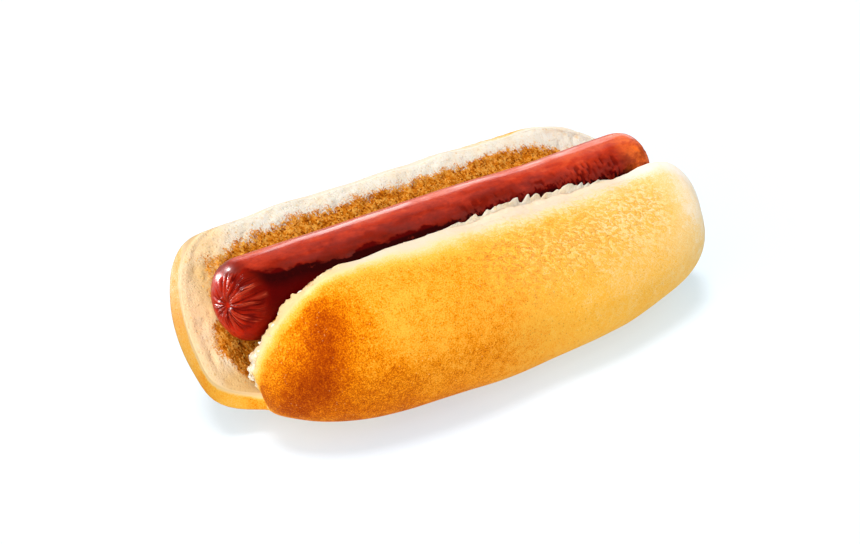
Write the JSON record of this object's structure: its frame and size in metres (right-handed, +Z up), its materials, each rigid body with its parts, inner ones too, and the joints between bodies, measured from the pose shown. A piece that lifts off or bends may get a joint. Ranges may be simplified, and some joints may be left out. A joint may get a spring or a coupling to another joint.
{
  "type": "hot dog",
  "caption": "Hot dog: a long soft bread bun, split lengthways and opened as a hinged V, with a cooked frankfurter sausage lying in the cleft.",
  "frame": {"origin": "point on the floor in the flat resting spot under the bun, at mid length, right below the sausage's axis", "axes": "+X along the bun towards its right end, +Y away from the upright near lobe towards the open far lobe, +Z up"},
  "size_m": [0.1674, 0.0753, 0.049],
  "materials": {
    "bread": "soft golden baked crust, with a cream and toasted crumb on the cut faces",
    "sausage_skin": "glossy brick red cooked skin, slightly wrinkled and puckered at the ends"
  },
  "bodies": {
    "root": {"bun": "bread", "sausage": "sausage_skin"}
  },
  "joints": []
}
